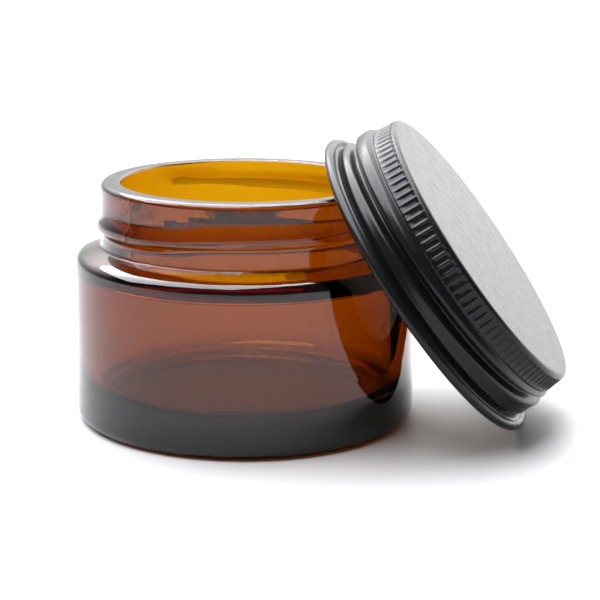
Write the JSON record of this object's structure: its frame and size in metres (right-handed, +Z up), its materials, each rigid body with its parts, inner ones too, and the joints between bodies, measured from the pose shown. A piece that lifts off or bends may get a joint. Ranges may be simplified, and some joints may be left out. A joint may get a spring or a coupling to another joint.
{
  "type": "cosmetic cream jar",
  "caption": "Round amber glass cream jar with a short threaded neck, its black screw lid off and leaning on the rim.",
  "frame": {"origin": "centre of the jar's flat base, on the surface that it stands on", "axes": "+Z up along the jar's axis, out of its mouth; +X towards the side that the lid leans on"},
  "size_m": [0.0876, 0.0629, 0.053],
  "materials": {
    "amber_glass": "clear polished amber",
    "black_lid": "satin black coating on thin aluminium",
    "liner_foam": "closed-cell foam",
    "liner_film": "smooth film"
  },
  "bodies": {
    "jar": {"glass_jar": "amber_glass"},
    "liner": {"liner_backing_film": "liner_film", "liner_foam_core": "liner_foam", "liner_face_film": "liner_film"},
    "lid": {"lid_shell": "black_lid"}
  },
  "joints": [
    {"name": "lid_lift", "type": "slide", "parent": "jar", "child": "liner", "axis": [0.805, -0.103, 0.5843], "range_m": [0, 0.06]},
    {"name": "lid_turn", "type": "hinge", "parent": "liner", "child": "lid", "pos_m": [0.03167, -0.00253, 0.02421], "axis": [0.805, -0.103, 0.5843], "continuous": true}
  ]
}
